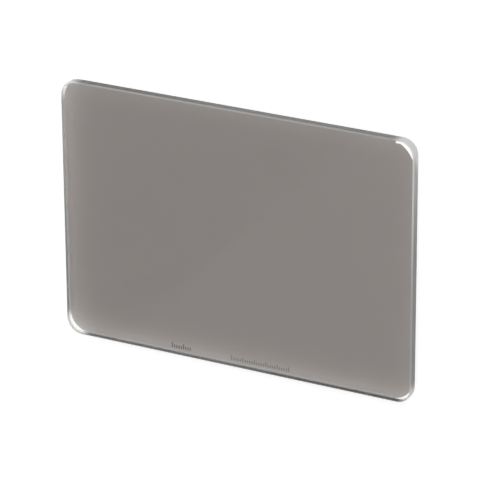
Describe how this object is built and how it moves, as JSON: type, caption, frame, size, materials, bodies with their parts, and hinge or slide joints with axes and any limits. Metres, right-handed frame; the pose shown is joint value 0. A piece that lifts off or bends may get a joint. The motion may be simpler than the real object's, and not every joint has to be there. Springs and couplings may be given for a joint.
{
  "type": "neutral density filter",
  "caption": "Flat rectangular pane of grey-coated optical glass with rounded corners and ground edges; it slides into a tray in front of a camera lens and dims the light evenly.",
  "frame": {"origin": "centre of the back face, which is the face the pane lies on", "axes": "+X along the long edges, +Y along the short edges, +Z out of the front face"},
  "size_m": [0.1436, 0.1016, 0.004],
  "materials": {
    "coated_glass": "polished clear glass with a neutral grey metal coat on the back face; the coat stops short of the corners, and the walls and chamfers are ground matt"
  },
  "bodies": {
    "root": {"glass_pane": "coated_glass"}
  },
  "joints": []
}
